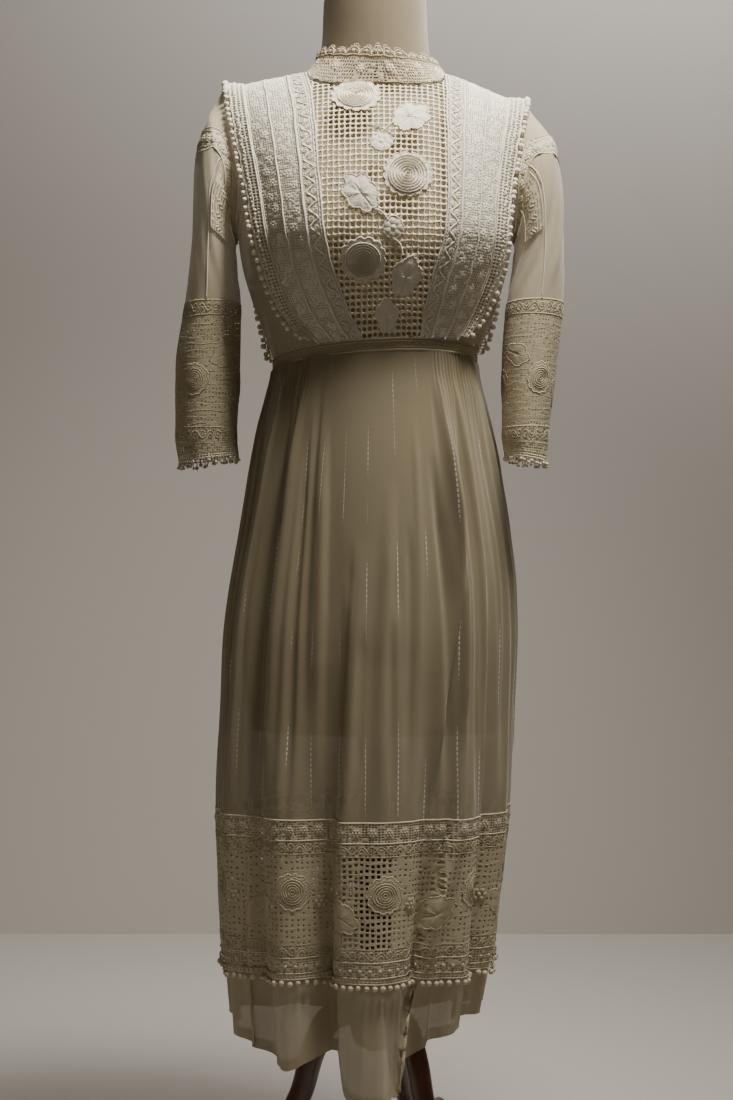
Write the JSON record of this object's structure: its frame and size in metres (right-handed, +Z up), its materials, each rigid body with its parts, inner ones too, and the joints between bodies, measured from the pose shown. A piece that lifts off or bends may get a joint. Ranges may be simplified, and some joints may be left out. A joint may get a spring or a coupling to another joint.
{
  "type": "lawn dress on a dress form",
  "caption": "Long high-waisted lawn dress with a crochet net yoke, lace strips over the shoulders, sleeves and a lace skirt band, on a limbless dress form with a tripod stand.",
  "frame": {"origin": "on the floor at the middle of the whole object's footprint box; the stand's post is at x = 0.0149 m, y = -0.0210 m", "axes": "+Z up, the dress's front faces -Y, +X to the viewer's right of the front (the wearer's left)"},
  "size_m": [0.48, 0.446, 1.429],
  "materials": {
    "lawn": "sheer cotton lawn, woven with fine stripes",
    "lace": "matte crochet lace",
    "net": "matte square-mesh crochet net",
    "jersey": "fine ribbed jersey",
    "mahogany": "dark polished"
  },
  "bodies": {
    "root": {"dress_form": "jersey", "stand_post": "mahogany", "stand_hub": "mahogany", "stand_leg_1": "mahogany", "stand_leg_2": "mahogany", "stand_leg_3": "mahogany", "stand_pad_1": "mahogany", "stand_pad_2": "mahogany", "stand_pad_3": "mahogany", "front_yoke_net": "net", "sleeve_lower_lace_left": "net", "sleeve_lower_lace_right": "net", "band_wide_net": "net", "rose_upper": "lace", "rose_middle": "lace", "rose_lower": "lace", "leaf_upper": "lace", "leaf_left": "lace", "leaf_right": "lace", "leaf_foot": "lace", "flower_upper": "lace", "flower_lower": "lace", "scroll_strip_left": "lace", "scroll_strip_right": "lace", "lace_strip_inner_left": "lace", "lace_strip_inner_right": "lace", "lace_strip_outer_left": "lace", "lace_strip_outer_right": "lace", "ball_fringe_left": "lace", "ball_fringe_right": "lace", "sleeve_cap_lace_left": "lace", "sleeve_cap_lace_right": "lace", "sleeve_edging_left": "lace", "sleeve_edging_right": "lace", "sleeve_inset_left": "lace", "sleeve_inset_right": "lace", "collar_lace": "lace", "waistband_lace": "lace", "band_top_strip": "lace", "band_bottom_strip": "lace", "band_ball_fringe": "lace", "back_panel_left": "lawn", "back_panel_right": "lawn", "back_placket": "lawn", "side_panel_left": "lawn", "side_panel_right": "lawn", "sleeve_cap_left": "lawn", "sleeve_cap_right": "lawn", "sleeve_upper_left": "lawn", "sleeve_upper_right": "lawn", "skirt_lawn": "lawn", "flounce_lawn": "lawn"}
  },
  "joints": []
}
